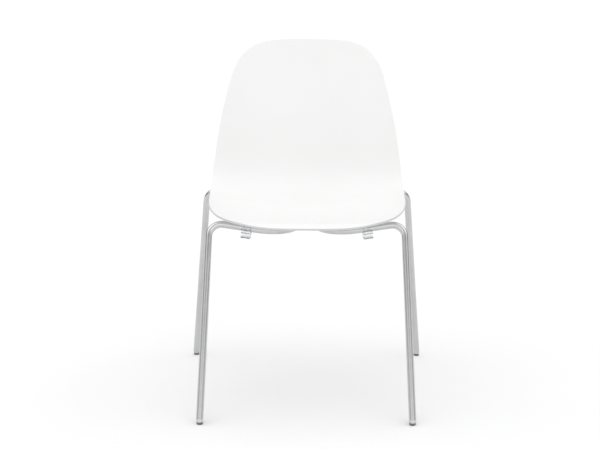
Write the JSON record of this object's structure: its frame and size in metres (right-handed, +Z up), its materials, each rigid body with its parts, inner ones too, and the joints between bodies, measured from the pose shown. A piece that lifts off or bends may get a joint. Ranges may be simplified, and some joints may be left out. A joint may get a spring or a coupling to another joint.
{
  "type": "stacking chair",
  "caption": "White one-piece moulded seat and back on a satin steel tube frame whose splayed legs pass outside the shell, with clear stacking bumpers under the seat and small dark floor glides.",
  "frame": {"origin": "on the floor, under the middle of the chair's bounding box", "axes": "+Z up, the chair faces -Y, +X to the right as seen from the front"},
  "size_m": [0.5846, 0.5046, 0.8063],
  "materials": {
    "shell": "fine moulded satin white polypropylene",
    "frame_steel": "satin chrome plated steel tube",
    "plate_steel": "satin chrome plated steel plate, welded",
    "screw_steel": "zinc plated steel",
    "insert_brass": "turned brass",
    "clear_plastic": "clear moulded polycarbonate",
    "glide_plastic": "light grey moulded nylon",
    "glide_sole": "dark grey felt-smooth nylon"
  },
  "bodies": {
    "root": {"seat_shell": "shell", "side_tube_left": "frame_steel", "side_tube_right": "frame_steel", "front_cross_plate": "plate_steel", "rear_cross_plate": "plate_steel", "front_mount_tab_left": "plate_steel", "front_mount_tab_right": "plate_steel", "rear_mount_tab_left": "plate_steel", "rear_mount_tab_right": "plate_steel", "shell_screws": "screw_steel", "shell_washers": "screw_steel", "threaded_inserts": "insert_brass", "front_stacking_bumper_left": "clear_plastic", "front_stacking_bumper_right": "clear_plastic", "rear_stacking_bumper_left": "clear_plastic", "rear_stacking_bumper_right": "clear_plastic", "front_glide_left": "glide_plastic", "front_glide_right": "glide_plastic", "rear_glide_left": "glide_plastic", "rear_glide_right": "glide_plastic", "front_glide_sole_left": "glide_sole", "front_glide_sole_right": "glide_sole", "rear_glide_sole_left": "glide_sole", "rear_glide_sole_right": "glide_sole"}
  },
  "joints": []
}
